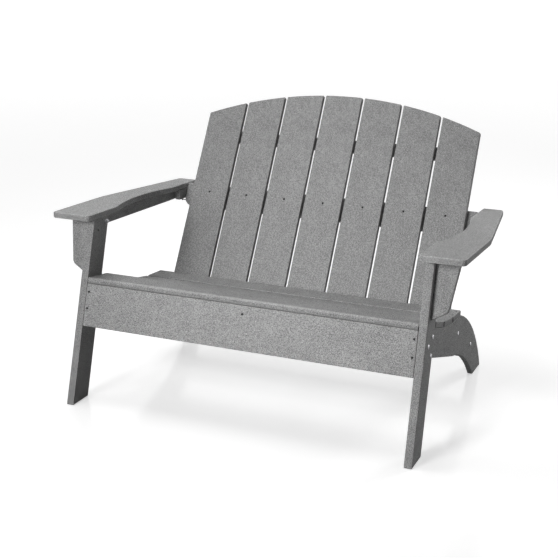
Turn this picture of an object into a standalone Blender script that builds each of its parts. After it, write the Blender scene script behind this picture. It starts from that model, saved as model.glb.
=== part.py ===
"""Adirondack loveseat: slatted boards of moulded plastic lumber, screwed and bolted into a rigid bench.

Metres, +Z up. X runs along the seat, -Y is the front, and the floor is at Z = 0.
Boards are laid out in leaning frames: the leg frame, the arm frame, the back frame and one per seat slat.
In each frame X runs along the seat, Y is across the board towards the rear, and Z is along it.
"""
import math

import bmesh
import bpy
from mathutils import Matrix, Vector

# Board stock and clearances
THIN_BOARD = 0.019
THICK_BOARD = 0.0254
EDGE_ROUND = 0.003
EDGE_STEPS = 2
SHARP_ANGLE = math.radians(35)
FIT = 0.0003
OVERRUN = 0.02

# Front legs and apron
SEAT_LENGTH = 1.098
LEG_WIDTH = 0.0855
LEG_LEAN = math.radians(16)
APRON_HEIGHT = 0.137
CREST_HEIGHT = 0.397

# Seat slats, from the front to the rear
SEAT_GAP = 0.0145
NOSE_ROUND = 0.009
NOSE_STEPS = 4
SLAT_WIDTHS = {
    "seat_slat_1": 0.1143,
    "seat_slat_2": 0.0508,
    "seat_slat_3": 0.0889,
    "seat_slat_4": 0.0889,
    "seat_slat_5": 0.0889,
}
SLAT_FALLS = {
    "seat_slat_1": math.radians(8.5),
    "seat_slat_2": math.radians(30),
    "seat_slat_3": math.radians(17.3),
    "seat_slat_4": math.radians(10.5),
    "seat_slat_5": math.radians(4),
}

# Side stringers, which run down into the rear feet; leads, drops and setbacks start at the seat's rear edge
UNDERSIDE_FALL = math.radians(18.2)
KNEE_LEAD = 0.1443
KNEE_DROP = 0.109
KNEE_BULGE = 0.002
KNEE_STEPS = 2
NOTCH_LEAD = 0.0165
NOTCH_DROP = 0.1462
FOOT_SETBACK = 0.1935
FOOT_LENGTH = 0.1005
FOOT_BULGE = 0.0165
REAR_BULGE = 0.0415
STRINGER_TAIL = 0.012
ARC_STEPS = 10

# Back
BACK_RECLINE = math.radians(29.8)
BACK_SETBACK = 0.026
BACK_SLAT_COUNT = 7
BACK_SLAT_GAP = 0.0088
BACK_SIDE_GAP = 0.0428
BACK_TOP_RISE = 0.6993
BACK_CORNER_RISE = 0.6008
BACK_FOOT_DROP = 0.126
TOP_ARC_STEPS = 4

# Cross rails behind and under the back
UPPER_RAIL_RISE = 0.5218
UPPER_RAIL_WIDTH = 0.0445
UPPER_RAIL_INSET = 0.0162
MID_RAIL_RISE = 0.2896
MID_RAIL_WIDTH = 0.0826
MID_RAIL_CORNER = 0.026
MID_RAIL_CORNER_STEPS = 3
LOWER_RAIL_WIDTH = 0.0889
UNDER_SLAT_CLEARANCE = 0.007
STRETCHER_WIDTH = 0.0889
STRETCHER_LEAD = 0.0503
STRETCHER_HEIGHT = 0.1255

# Arms, in the arm frame whose origin is at the front edge of the top face
ARM_HEIGHT = 0.5977
ARM_OVERHANG = 0.051
ARM_FALL = math.radians(2.5)
ARM_LENGTH = 0.742
ARM_WIDTH = 0.1370
ARM_REAR_WIDTH = 0.0680
ARM_INSET = 0.0095
ARM_REAR_INSET = 0.0065
ARM_BEND = 0.295
HOLLOW_START = 0.172
HOLLOW_END = 0.566
HOLLOW_DEPTH = 0.0300
ARM_CORNER = 0.014
ARM_BEND_ROUND = 0.150
HOLLOW_STEPS = 12
CORNER_STEPS = 4

# Corbels, rails and blocks under the arms
CORBEL_SETBACK = 0.020
CORBEL_TOP_WIDTH = 0.0715
CORBEL_FOOT_WIDTH = 0.049
CORBEL_SLOPE = 0.028
CORBEL_CORNER = 0.022
ARM_RAIL_DEPTH = 0.0395
ARM_RAIL_START = 0.092
ARM_RAIL_END_INSET = 0.054
ARM_BLOCK_LENGTH = 0.074
ARM_BLOCK_DEPTH = 0.035
ARM_BLOCK_LEAD = 0.059
BLOCK_GAP = 0.0035

# Countersunk screws
SCREW_HEAD_RADIUS = 0.0041
SCREW_HEAD_DEPTH = 0.0028
SCREW_SINK = 0.0018
SCREW_RADIUS = 0.0021
FINE_SIDES = 8
PLAIN_SIDES = 6
SEAT_SCREW_LENGTH = 0.038
APRON_SCREW_LENGTH = 0.044
BACK_SCREW_LENGTH = 0.038
UPPER_SCREW_LENGTH = 0.032
CENTRE_SCREW_LENGTH = 0.050
CORBEL_SCREW_LENGTH = 0.050
BLOCK_SCREW_LENGTH = 0.045
ARM_BITE = 0.012

# Carriage bolts, washers and nuts
BOLT_RADIUS = 0.0032
BOLT_HEAD_RADIUS = 0.0068
BOLT_HEAD_HEIGHT = 0.0038
BOLT_END = 0.003
WASHER_RADIUS = 0.0080
WASHER_THICKNESS = 0.0014
NUT_RADIUS = 0.0063
NUT_HEIGHT = 0.0055
NUT_SIDES = 6
RAIL_BOLT_LENGTH = 0.060

# Places of the fasteners
BOLT_GROUP_DROP = 0.0454
BOLT_PITCH = 0.0275
BOLT_FRONT_OFFSET = 0.030
BOLT_EDGE_DISTANCE = 0.0185
ARM_BOLT_EDGE_DISTANCE = 0.0140
APRON_SCREW_TOP = 0.0175
APRON_SCREW_PITCH = 0.0525
MID_SCREW_RISE = 0.3001
RAIL_SCREW_SPREAD = 0.022
CORBEL_SCREW_DROP = 0.035

# Share of the way from the middle leg bolt up to the arm at which a corbel's foot ends
CORBEL_FOOT_SHARE = 0.30
# Shares of a slat's width where its screws stand
WIDE_SLAT_SCREW_SHARES = (0.25, 0.75)
NARROW_SLAT_SCREW_SHARES = (0.5,)
# Shares of the arm rail's length where its screws stand
ARM_SCREW_SHARES = (0.3, 0.8)
# Radii and heights of a domed head, as shares of its size
DOME_SHARES = ((0.45, 1.0), (0.8, 0.78), (1.0, 0.3))

# Linear colours and roughness
BOARD_COLOUR = (0.30, 0.30, 0.30, 1.0)
BOARD_ROUGHNESS = 0.6
STEEL_COLOUR = (0.62, 0.62, 0.63, 1.0)
STEEL_ROUGHNESS = 0.3


# Sizes that follow from those above
LEG_INNER_X = SEAT_LENGTH / 2
LEG_OUTER_X = LEG_INNER_X + THICK_BOARD
STRINGER_INNER_X = LEG_INNER_X - THIN_BOARD
STRINGER_MIDDLE_X = LEG_INNER_X - THIN_BOARD / 2
BACK_HALF_WIDTH = LEG_INNER_X - BACK_SIDE_GAP
BACK_PITCH = (2 * BACK_HALF_WIDTH + BACK_SLAT_GAP) / BACK_SLAT_COUNT
BACK_SLAT_WIDTH = BACK_PITCH - BACK_SLAT_GAP
ARM_RAIL_END = ARM_LENGTH - ARM_RAIL_END_INSET
SLAT_NAMES = list(SLAT_WIDTHS)
SIDES = {"left": -1, "right": 1}


def leaning_frame(y, z, lean):
    """Frame at (0, y, z) whose Z axis leans rearwards by the given angle."""
    return Matrix.Translation((0, y, z)) @ Matrix.Rotation(-lean, 4, "X")


def slat_frames():
    """Frames of the seat slats, each at the front top corner, with Y along the slat's width."""
    frames = {}
    first = SLAT_NAMES[0]
    sunk = CREST_HEIGHT - THIN_BOARD * math.cos(SLAT_FALLS[first])
    y = sunk * math.tan(LEG_LEAN) + THIN_BOARD * math.sin(SLAT_FALLS[first])
    z = CREST_HEIGHT
    previous = None
    for name in SLAT_NAMES:
        fall = SLAT_FALLS[name]
        if previous is not None:
            mean = (fall + SLAT_FALLS[previous]) / 2
            y += SEAT_GAP * math.cos(mean)
            z -= SEAT_GAP * math.sin(mean)
        frames[name] = leaning_frame(y, z, fall)
        y += SLAT_WIDTHS[name] * math.cos(fall)
        z -= SLAT_WIDTHS[name] * math.sin(fall)
        previous = name
    return frames, y, z


SLAT_FRAMES, SEAT_REAR_Y, SEAT_REAR_Z = slat_frames()
KNEE = (SEAT_REAR_Y - KNEE_LEAD, SEAT_REAR_Z - KNEE_DROP)
NOTCH = (SEAT_REAR_Y - NOTCH_LEAD, SEAT_REAR_Z - NOTCH_DROP)
TOE = (SEAT_REAR_Y + FOOT_SETBACK, 0)
HEEL = (SEAT_REAR_Y + FOOT_SETBACK + FOOT_LENGTH, 0)
STRETCHER = (SEAT_REAR_Y + FOOT_SETBACK - STRETCHER_LEAD, STRETCHER_HEIGHT)
LEG_FRAME = leaning_frame(0, 0, LEG_LEAN)
BACK_FRAME = leaning_frame(SEAT_REAR_Y + BACK_SETBACK, SEAT_REAR_Z, BACK_RECLINE)
ARM_UNDER_HEIGHT = ARM_HEIGHT - THIN_BOARD / math.cos(ARM_FALL)
ARM_FRONT_Y = ARM_UNDER_HEIGHT * math.tan(LEG_LEAN) - ARM_OVERHANG
ARM_FRAME = leaning_frame(ARM_FRONT_Y, ARM_HEIGHT, ARM_FALL)


def remove_everything():
    for item in list(bpy.data.objects):
        bpy.data.objects.remove(item, do_unlink=True)


def principled(name, colour, roughness, metallic):
    material = bpy.data.materials.new(name)
    material.use_nodes = True
    shader = material.node_tree.nodes["Principled BSDF"]
    shader.inputs["Base Color"].default_value = colour
    shader.inputs["Roughness"].default_value = roughness
    shader.inputs["Metallic"].default_value = metallic
    return material


def mesh_of(name, bm):
    """Mesh with its faces outward, smooth except at its edges."""
    bmesh.ops.recalc_face_normals(bm, faces=bm.faces)
    mesh = bpy.data.meshes.new(name)
    bm.to_mesh(mesh)
    bm.free()
    mesh.shade_smooth()
    mesh.set_sharp_from_angle(angle=SHARP_ANGLE)
    return mesh


def add_object(name, mesh, place, root):
    """Object placed in the root's space."""
    item = bpy.data.objects.new(name, mesh)
    bpy.context.collection.objects.link(item)
    item.parent = root
    item.matrix_basis = place
    return item


def round_edges(item):
    bevel = item.modifiers.new("edge_round", "BEVEL")
    bevel.width = EDGE_ROUND
    bevel.segments = EDGE_STEPS
    bevel.limit_method = "ANGLE"
    bevel.angle_limit = SHARP_ANGLE


def box(low, high):
    """Closed box between two corners."""
    bm = bmesh.new()
    bmesh.ops.create_cube(bm, size=1)
    low, high = Vector(low), Vector(high)
    middle = (low + high) / 2
    for vertex in bm.verts:
        share = vertex.co.copy()
        vertex.co = middle + Vector(share[i] * (high[i] - low[i]) for i in range(3))
    return bm


def slab(outline, axis, low, high):
    """Outline extruded along an axis from low to high; its points hold the other two coordinates."""
    bm = bmesh.new()
    vertices = []
    for first, second in outline:
        point = [first, second]
        point.insert(axis, low)
        vertices.append(bm.verts.new(point))
    face = bm.faces.new(vertices)
    extruded = bmesh.ops.extrude_face_region(bm, geom=[face])
    shift = Vector((0, 0, 0))
    shift[axis] = high - low
    moved = [item for item in extruded["geom"] if isinstance(item, bmesh.types.BMVert)]
    bmesh.ops.translate(bm, vec=shift, verts=moved)
    return bm


def cut_off(bm, frame, point, outward):
    """Cuts away what lies beyond a plane given in the root's space, and closes the cut."""
    into = frame.inverted()
    geometry = bm.verts[:] + bm.edges[:] + bm.faces[:]
    cut = bmesh.ops.bisect_plane(
        bm,
        geom=geometry,
        plane_co=into @ Vector(point),
        plane_no=into.to_3x3() @ Vector(outward),
        clear_outer=True,
    )
    edges = [item for item in cut["geom_cut"] if isinstance(item, bmesh.types.BMEdge)]
    bmesh.ops.holes_fill(bm, edges=edges)


def arc(start, end, bulge, steps):
    """Points after start along an arc to end; the bulge is to the left of the way from start to end."""
    start, end = Vector(start), Vector(end)
    chord = end - start
    half = chord.length / 2
    radius = (half * half + bulge * bulge) / (2 * abs(bulge))
    left = Vector((-chord.y, chord.x)).normalized() * math.copysign(1, bulge)
    centre = (start + end) / 2 + left * (abs(bulge) - radius)
    sweep = 2 * math.asin(half / radius) * -math.copysign(1, bulge)
    arm = start - centre
    return [tuple(centre + Matrix.Rotation(sweep * step / steps, 2) @ arm) for step in range(1, steps + 1)]


def rounded(corners, steps):
    """Closed outline from (x, y, radius) corners, each corner with a radius turned into an arc."""
    outline = []
    count = len(corners)
    for index, (x, y, radius) in enumerate(corners):
        here = Vector((x, y))
        if radius == 0:
            outline.append((x, y))
            continue
        back = (Vector(corners[index - 1][:2]) - here).normalized()
        ahead = (Vector(corners[(index + 1) % count][:2]) - here).normalized()
        half_angle = back.angle(ahead) / 2
        reach = radius / math.tan(half_angle)
        start, end = here + back * reach, here + ahead * reach
        half_chord = (end - start).length / 2
        sagitta = radius - math.sqrt(max(radius * radius - half_chord * half_chord, 0))
        middle = (start + end) / 2
        side = (end - start).x * (here - middle).y - (end - start).y * (here - middle).x
        outline.append(tuple(start))
        outline.extend(arc(start, end, math.copysign(sagitta, side), steps))
    return outline


def turned(profile, sides):
    bm = bmesh.new()
    add_turned(bm, profile, sides, Matrix())
    return bm


def frame_point(frame, x, y, z):
    return frame @ Vector((x, y, z))


def frame_direction(frame, x, y, z):
    return (frame.to_3x3() @ Vector((x, y, z))).normalized()


def aim(point, outward):
    """Matrix whose Z axis points out of the surface at the point."""
    return Matrix.Translation(point) @ outward.to_track_quat("Z", "Y").to_matrix().to_4x4()


def add_turned(bm, profile, sides, place):
    """Closed turned body round the local Z axis; profile points are (radius, height), from the top down."""
    rings = []
    for radius, height in profile:
        ring = []
        for side in range(sides):
            angle = 2 * math.pi * (side + 0.5) / sides
            spot = Vector((radius * math.cos(angle), radius * math.sin(angle), height))
            ring.append(bm.verts.new(place @ spot))
        rings.append(ring)
    for upper, lower in zip(rings, rings[1:]):
        for side in range(sides):
            follow = (side + 1) % sides
            bm.faces.new((upper[side], upper[follow], lower[follow], lower[side]))
    bm.faces.new(rings[0])
    bm.faces.new(rings[-1])


def ring(outer_radius, inner_radius, thickness, corners):
    """Washer or nut round the local Z axis, standing on Z = 0, with its corners at the outer radius."""
    bm = bmesh.new()
    sides = max(corners, FINE_SIDES * 2)
    sides -= sides % corners
    loops = []
    for radius, height in (
        (outer_radius, 0),
        (outer_radius, thickness),
        (inner_radius, thickness),
        (inner_radius, 0),
    ):
        loop = []
        for side in range(sides):
            angle = 2 * math.pi * side / sides
            reach = radius
            if radius == outer_radius:
                past_corner = angle % (2 * math.pi / corners) - math.pi / corners
                reach *= math.cos(math.pi / corners) / math.cos(past_corner)
            loop.append(bm.verts.new((reach * math.cos(angle), reach * math.sin(angle), height)))
        loops.append(loop)
    for loop, following in zip(loops, loops[1:] + loops[:1]):
        for side in range(sides):
            follow = (side + 1) % sides
            bm.faces.new((loop[side], loop[follow], following[follow], following[side]))
    return bm


def fastener_bore():
    return (BOLT_RADIUS + FIT) / math.cos(math.pi / FINE_SIDES)


def washer():
    return ring(WASHER_RADIUS, fastener_bore(), WASHER_THICKNESS, FINE_SIDES * 2)


def nut():
    return ring(NUT_RADIUS, fastener_bore(), NUT_HEIGHT, NUT_SIDES)


def screw_hole_profile(length):
    return [
        (SCREW_HEAD_RADIUS, OVERRUN),
        (SCREW_HEAD_RADIUS, -SCREW_SINK),
        (SCREW_RADIUS, -SCREW_SINK - SCREW_HEAD_DEPTH),
        (SCREW_RADIUS, -length),
    ]


def bolt_profile(length):
    dome = [(BOLT_HEAD_RADIUS * radius, BOLT_HEAD_HEIGHT * height) for radius, height in DOME_SHARES]
    shank = [(BOLT_HEAD_RADIUS, FIT), (BOLT_RADIUS, FIT), (BOLT_RADIUS, -length)]
    return dome + shank


def bolt_hole_profile(length):
    return [(BOLT_RADIUS + FIT, OVERRUN), (BOLT_RADIUS + FIT, -length - FIT)]


class Bench:
    """Holds the root empty, the boards, the holes to be drilled and the fasteners' shared meshes."""

    def __init__(self):
        self.root = bpy.data.objects.new("loveseat_root", None)
        bpy.context.collection.objects.link(self.root)
        self.boards = {}
        self.holes = {}
        self.meshes = {}

    def add_board(self, name, bm, place):
        item = add_object(name, mesh_of(name, bm), place, self.root)
        item.data.materials.append(principled(name, BOARD_COLOUR, BOARD_ROUGHNESS, 0))
        round_edges(item)
        self.boards[name] = item

    def add_fastener(self, kind, number, make_shape, place):
        """Copy of a fastener; all of one kind share a mesh."""
        if kind not in self.meshes:
            mesh = mesh_of(kind, make_shape())
            mesh.materials.append(principled(kind, STEEL_COLOUR, STEEL_ROUGHNESS, 1))
            self.meshes[kind] = mesh
        add_object(f"{kind}_{number}", self.meshes[kind], place, self.root)

    def drill(self, boards, profile, sides, place):
        for name in boards:
            if name not in self.holes:
                self.holes[name] = bmesh.new()
            add_turned(self.holes[name], profile, sides, place)

    def screw_hole(self, boards, point, outward, length, sides=PLAIN_SIDES):
        """Countersunk hole from the surface at the point into the named boards."""
        self.drill(boards, screw_hole_profile(length), sides, aim(point, outward))

    def bolt(self, kind, number, boards, point, outward, grip):
        """Domed bolt through the boards, with a washer and a nut on the far side."""
        place = aim(point, outward)
        length = grip + WASHER_THICKNESS + NUT_HEIGHT + 2 * FIT + BOLT_END
        self.add_fastener(kind, number, lambda: turned(bolt_profile(length), FINE_SIDES), place)
        self.drill(boards, bolt_hole_profile(length), FINE_SIDES, place)
        washer_place = place @ Matrix.Translation((0, 0, -grip - FIT - WASHER_THICKNESS))
        nut_place = washer_place @ Matrix.Translation((0, 0, -FIT - NUT_HEIGHT))
        self.add_fastener(kind + "_washer", number, washer, washer_place)
        self.add_fastener(kind + "_nut", number, nut, nut_place)

    def lag_bolt(self, kind, number, boards, point, outward, length):
        """Domed bolt that ends inside the second board."""
        place = aim(point, outward)
        self.add_fastener(kind, number, lambda: turned(bolt_profile(length), FINE_SIDES), place)
        self.drill(boards, bolt_hole_profile(length), FINE_SIDES, place)

    def drill_boards(self):
        """Cuts all the holes of a board with one hidden cutter."""
        for name, bm in self.holes.items():
            cutter = add_object("drill_" + name, mesh_of("drill_" + name, bm), Matrix(), self.root)
            cutter.hide_render = True
            cutter.display_type = "WIRE"
            drilling = self.boards[name].modifiers.new("holes", "BOOLEAN")
            drilling.operation = "DIFFERENCE"
            drilling.solver = "EXACT"
            drilling.object = cutter

    def shade_boards(self):
        """Keeps the flat faces flat beside their rounded edges."""
        for item in self.boards.values():
            shading = item.modifiers.new("shading", "WEIGHTED_NORMAL")
            shading.keep_sharp = True


def make_front_legs(bench):
    """Flat boards on edge, cut level at the floor and to the slope of the arm on top."""
    for side, sign in SIDES.items():
        low, high = sorted((sign * LEG_INNER_X, sign * LEG_OUTER_X))
        bm = box((low, 0, -OVERRUN), (high, LEG_WIDTH, ARM_HEIGHT / math.cos(LEG_LEAN) + OVERRUN))
        cut_off(bm, LEG_FRAME, (0, 0, 0), (0, 0, -1))
        top = frame_point(ARM_FRAME, 0, 0, -THIN_BOARD - FIT)
        cut_off(bm, LEG_FRAME, top, frame_direction(ARM_FRAME, 0, 0, 1))
        bench.add_board("front_leg_" + side, bm, LEG_FRAME)


def apron_top():
    """Distance from the floor corner along the leg to the apron's top edge."""
    first = SLAT_FRAMES[SLAT_NAMES[0]]
    nose = LEG_FRAME.inverted() @ frame_point(first, 0, 0, -THIN_BOARD)
    return nose.z - FIT


def make_front_apron(bench):
    half = LEG_INNER_X - FIT
    top = apron_top()
    bm = box((-half, 0, top - APRON_HEIGHT), (half, THIN_BOARD, top))
    bench.add_board("front_apron", bm, LEG_FRAME)


def make_seat_slats(bench):
    """Slats as long as the stringers' spacing; the first fits between the legs and has a rounded nose."""
    for name in SLAT_NAMES:
        first = name == SLAT_NAMES[0]
        half = LEG_INNER_X - FIT if first else LEG_INNER_X
        nose = NOSE_ROUND if first else 0
        width = SLAT_WIDTHS[name]
        corners = [(0, -THIN_BOARD, 0), (width, -THIN_BOARD, 0), (width, 0, 0), (0, 0, nose)]
        bm = slab(rounded(corners, NOSE_STEPS), 0, -half, half)
        bench.add_board(name, bm, SLAT_FRAMES[name])


def seat_line():
    """Points (y, z) of the stringers' top edge, just under the slats, from the front to the rear."""
    points = []
    for name in SLAT_NAMES:
        frame = SLAT_FRAMES[name]
        for along in (0, SLAT_WIDTHS[name]):
            spot = frame_point(frame, 0, along, -THIN_BOARD - FIT)
            points.append((spot.y, spot.z))
    return points


def underside_start():
    """Where the underside line meets the apron's rear face, as (y, z)."""
    rear = frame_point(LEG_FRAME, 0, THIN_BOARD + FIT, 0)
    slope = math.tan(LEG_LEAN)
    fall = math.tan(UNDERSIDE_FALL)
    knee_y, knee_height = KNEE
    height = (knee_height + fall * (knee_y - rear.y + slope * rear.z)) / (1 + fall * slope)
    return rear.y + slope * (height - rear.z), height


def stringer_front_top():
    """Where the seat line meets the apron's rear face, as (y, z)."""
    rear = frame_point(LEG_FRAME, 0, THIN_BOARD + FIT, 0)
    slope = math.tan(LEG_LEAN)
    (y, z), (next_y, next_z) = seat_line()[:2]
    fall = (z - next_z) / (next_y - y)
    height = (z + fall * (y - rear.y + slope * rear.z)) / (1 + fall * slope)
    return rear.y + slope * (height - rear.z), height


def make_side_stringers(bench):
    """Contoured boards: seat line on top, an arc down the rear, a level foot and an arched underside."""
    tail_fall = SLAT_FALLS[SLAT_NAMES[-1]]
    end_y, end_z = seat_line()[-1]
    tail = (end_y + STRINGER_TAIL * math.cos(tail_fall), end_z - STRINGER_TAIL * math.sin(tail_fall))
    outline = [stringer_front_top()] + seat_line()[1:] + [tail]
    outline += arc(tail, HEEL, REAR_BULGE, ARC_STEPS)
    outline += [TOE]
    outline += arc(TOE, NOTCH, -FOOT_BULGE, ARC_STEPS)
    outline += arc(NOTCH, KNEE, KNEE_BULGE, KNEE_STEPS)
    outline += [underside_start()]
    for side, sign in SIDES.items():
        low, high = sorted((sign * STRINGER_INNER_X, sign * (LEG_INNER_X - FIT)))
        bm = slab(outline, 0, low, high)
        bench.add_board("side_stringer_" + side, bm, Matrix())


def lower_rail_top():
    """Rise in the back frame of the lower rail's top edge, just clear of the last seat slat."""
    thickness = THICK_BOARD + FIT
    under = (THIN_BOARD + UNDER_SLAT_CLEARANCE) / math.cos(SLAT_FALLS[SLAT_NAMES[-1]])
    slope = math.tan(SLAT_FALLS[SLAT_NAMES[-1]])
    behind = BACK_SETBACK - thickness * math.cos(BACK_RECLINE)
    drop = under + behind * slope + thickness * math.sin(BACK_RECLINE)
    return -drop / (math.cos(BACK_RECLINE) + slope * math.sin(BACK_RECLINE))


def make_centre_stringer(bench):
    """Middle support of the seat slats, from the apron back to the lower rail."""
    outline = [stringer_front_top()] + seat_line()[1:]
    outline += [(SEAT_REAR_Y, SEAT_REAR_Z - NOTCH_DROP), NOTCH]
    outline += arc(NOTCH, KNEE, KNEE_BULGE, KNEE_STEPS)
    outline += [underside_start()]
    bm = slab(outline, 0, -THIN_BOARD / 2, THIN_BOARD / 2)
    face = frame_point(BACK_FRAME, 0, -THICK_BOARD - 2 * FIT, 0)
    cut_off(bm, Matrix(), face, frame_direction(BACK_FRAME, 0, 1, 0))
    bench.add_board("centre_stringer", bm, Matrix())


def back_top(x):
    """Rise of the back's top arc at x, in the back frame."""
    sagitta = BACK_TOP_RISE - BACK_CORNER_RISE
    radius = (BACK_HALF_WIDTH**2 + sagitta**2) / (2 * sagitta)
    return BACK_TOP_RISE - radius + math.sqrt(max(radius**2 - x**2, 0))


def make_back_slats(bench):
    """Parallel slats whose tops follow one arc."""
    for index in range(BACK_SLAT_COUNT):
        left = -BACK_HALF_WIDTH + index * BACK_PITCH
        right = left + BACK_SLAT_WIDTH
        outline = [(left, -BACK_FOOT_DROP), (right, -BACK_FOOT_DROP)]
        for step in range(TOP_ARC_STEPS + 1):
            x = right + (left - right) * step / TOP_ARC_STEPS
            outline.append((x, back_top(x)))
        bm = slab(outline, 1, 0, THIN_BOARD)
        bench.add_board(f"back_slat_{index + 1}", bm, BACK_FRAME)


def mid_rail_half_length():
    return LEG_INNER_X - ARM_REAR_INSET - BLOCK_GAP - FIT


def make_back_rails(bench):
    """Upper and mid rails on the rear of the back slats, and the lower rail in front of their feet."""
    rear = THIN_BOARD + FIT
    low, high = UPPER_RAIL_RISE - UPPER_RAIL_WIDTH / 2, UPPER_RAIL_RISE + UPPER_RAIL_WIDTH / 2
    half = BACK_HALF_WIDTH - UPPER_RAIL_INSET
    bm = box((-half, rear, low), (half, rear + THIN_BOARD, high))
    bench.add_board("upper_back_rail", bm, BACK_FRAME)

    low, high = MID_RAIL_RISE - MID_RAIL_WIDTH / 2, MID_RAIL_RISE + MID_RAIL_WIDTH / 2
    half = mid_rail_half_length()
    lower = [(-half, low, MID_RAIL_CORNER), (half, low, MID_RAIL_CORNER)]
    upper = [(half, high, 0), (-half, high, 0)]
    bm = slab(rounded(lower + upper, MID_RAIL_CORNER_STEPS), 1, rear, rear + THICK_BOARD)
    bench.add_board("mid_back_rail", bm, BACK_FRAME)

    top = lower_rail_top()
    half = STRINGER_INNER_X - FIT
    bm = box((-half, -THICK_BOARD - FIT, top - LOWER_RAIL_WIDTH), (half, -FIT, top))
    bench.add_board("lower_back_rail", bm, BACK_FRAME)


def make_rear_stretcher(bench):
    half = STRINGER_INNER_X - FIT
    low = (-half, -THICK_BOARD / 2, -STRETCHER_WIDTH / 2)
    high = (half, THICK_BOARD / 2, STRETCHER_WIDTH / 2)
    place = Matrix.Translation((0, *STRETCHER))
    bench.add_board("rear_stretcher", box(low, high), place)


def arm_outline(sign):
    """Arm seen from above in the arm frame, with a bent outer edge and a hollow arc in the inner edge."""
    inner = LEG_INNER_X - ARM_INSET
    inner_rear = LEG_INNER_X - ARM_REAR_INSET
    outer = inner + ARM_WIDTH
    outer_rear = inner_rear + ARM_REAR_WIDTH
    corners = [
        (inner, 0, ARM_CORNER),
        (outer, 0, ARM_CORNER),
        (outer, ARM_BEND, ARM_BEND_ROUND),
        (outer_rear, ARM_LENGTH, ARM_CORNER),
        (inner_rear, ARM_LENGTH, 0),
    ]
    hollow_rear, hollow_front = (inner_rear, HOLLOW_END), (inner, HOLLOW_START)
    corners.append((*hollow_rear, 0))
    corners += [(x, y, 0) for x, y in arc(hollow_rear, hollow_front, HOLLOW_DEPTH, HOLLOW_STEPS)]
    return [(sign * x, y) for x, y in rounded(corners, CORNER_STEPS)]


def make_arms(bench):
    for side, sign in SIDES.items():
        bm = slab(arm_outline(sign), 2, -THIN_BOARD, 0)
        bench.add_board("arm_" + side, bm, ARM_FRAME)


def bolt_group_rise():
    """Rise along the leg of the middle one of the three bolts that hold the stringer."""
    return apron_top() - BOLT_GROUP_DROP


def corbel_top_rise():
    """Distance along the leg to the arm's underside at the corbel."""
    under = LEG_FRAME.inverted() @ frame_point(ARM_FRAME, 0, ARM_OVERHANG, -THIN_BOARD)
    return under.z


def make_corbels(bench):
    """Boards facing forward on the legs' outer faces, tapering down to a sloping, rounded foot."""
    top = corbel_top_rise()
    inner_foot = bolt_group_rise() + (top - bolt_group_rise()) * CORBEL_FOOT_SHARE
    foot = inner_foot + CORBEL_SLOPE
    taper = (CORBEL_TOP_WIDTH - CORBEL_FOOT_WIDTH) / (top - foot)
    start = LEG_OUTER_X + FIT
    for side, sign in SIDES.items():
        corners = [
            (start, inner_foot, 0),
            (start + CORBEL_FOOT_WIDTH, foot, CORBEL_CORNER),
            (start + CORBEL_TOP_WIDTH + taper * OVERRUN, top + OVERRUN, 0),
            (start, top + OVERRUN, 0),
        ]
        outline = [(sign * x, z) for x, z in rounded(corners, CORNER_STEPS)]
        bm = slab(outline, 1, CORBEL_SETBACK, CORBEL_SETBACK + THIN_BOARD)
        under = frame_point(ARM_FRAME, 0, 0, -THIN_BOARD - FIT)
        cut_off(bm, LEG_FRAME, under, frame_direction(ARM_FRAME, 0, 0, 1))
        bench.add_board("corbel_" + side, bm, LEG_FRAME)


def make_arm_rails(bench):
    """Narrow boards on edge under the arms, from behind the corbels to the rear."""
    top = -THIN_BOARD - FIT
    inner, outer = LEG_OUTER_X + FIT, LEG_OUTER_X + FIT + THIN_BOARD
    for side, sign in SIDES.items():
        low, high = sorted((sign * inner, sign * outer))
        bm = box((low, ARM_RAIL_START, top - ARM_RAIL_DEPTH), (high, ARM_RAIL_END, top))
        bench.add_board("arm_rail_" + side, bm, ARM_FRAME)


def arm_block_inner_x():
    return mid_rail_half_length() + FIT


def arm_block_start():
    """Where the blocks start along the arms, ahead of the mid rail's middle."""
    middle = frame_point(BACK_FRAME, 0, THIN_BOARD + FIT + THICK_BOARD / 2, MID_RAIL_RISE)
    return (ARM_FRAME.inverted() @ middle).y - ARM_BLOCK_LEAD


def make_arm_blocks(bench):
    """Blocks under the rear of the arms, against the mid rail's ends."""
    top = -THIN_BOARD - FIT
    inner, outer = arm_block_inner_x(), arm_block_inner_x() + THIN_BOARD
    start = arm_block_start()
    for side, sign in SIDES.items():
        low, high = sorted((sign * inner, sign * outer))
        bm = box((low, start, top - ARM_BLOCK_DEPTH), (high, start + ARM_BLOCK_LENGTH, top))
        bench.add_board("arm_block_" + side, bm, ARM_FRAME)


def fasten_legs(bench):
    """Three bolts through each leg and stringer, in a zigzag."""
    front, rear = BOLT_FRONT_OFFSET, LEG_WIDTH - BOLT_EDGE_DISTANCE
    middle = bolt_group_rise()
    spots = ((rear, middle + BOLT_PITCH), (front, middle), (rear, middle - BOLT_PITCH))
    grip = THICK_BOARD + FIT + THIN_BOARD
    for side, sign in SIDES.items():
        boards = ["front_leg_" + side, "side_stringer_" + side]
        for index, (across, rise) in enumerate(spots):
            point = frame_point(LEG_FRAME, sign * LEG_OUTER_X, across, rise)
            bench.bolt("leg_bolt", f"{side}_{index + 1}", boards, point, Vector((sign, 0, 0)), grip)


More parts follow.
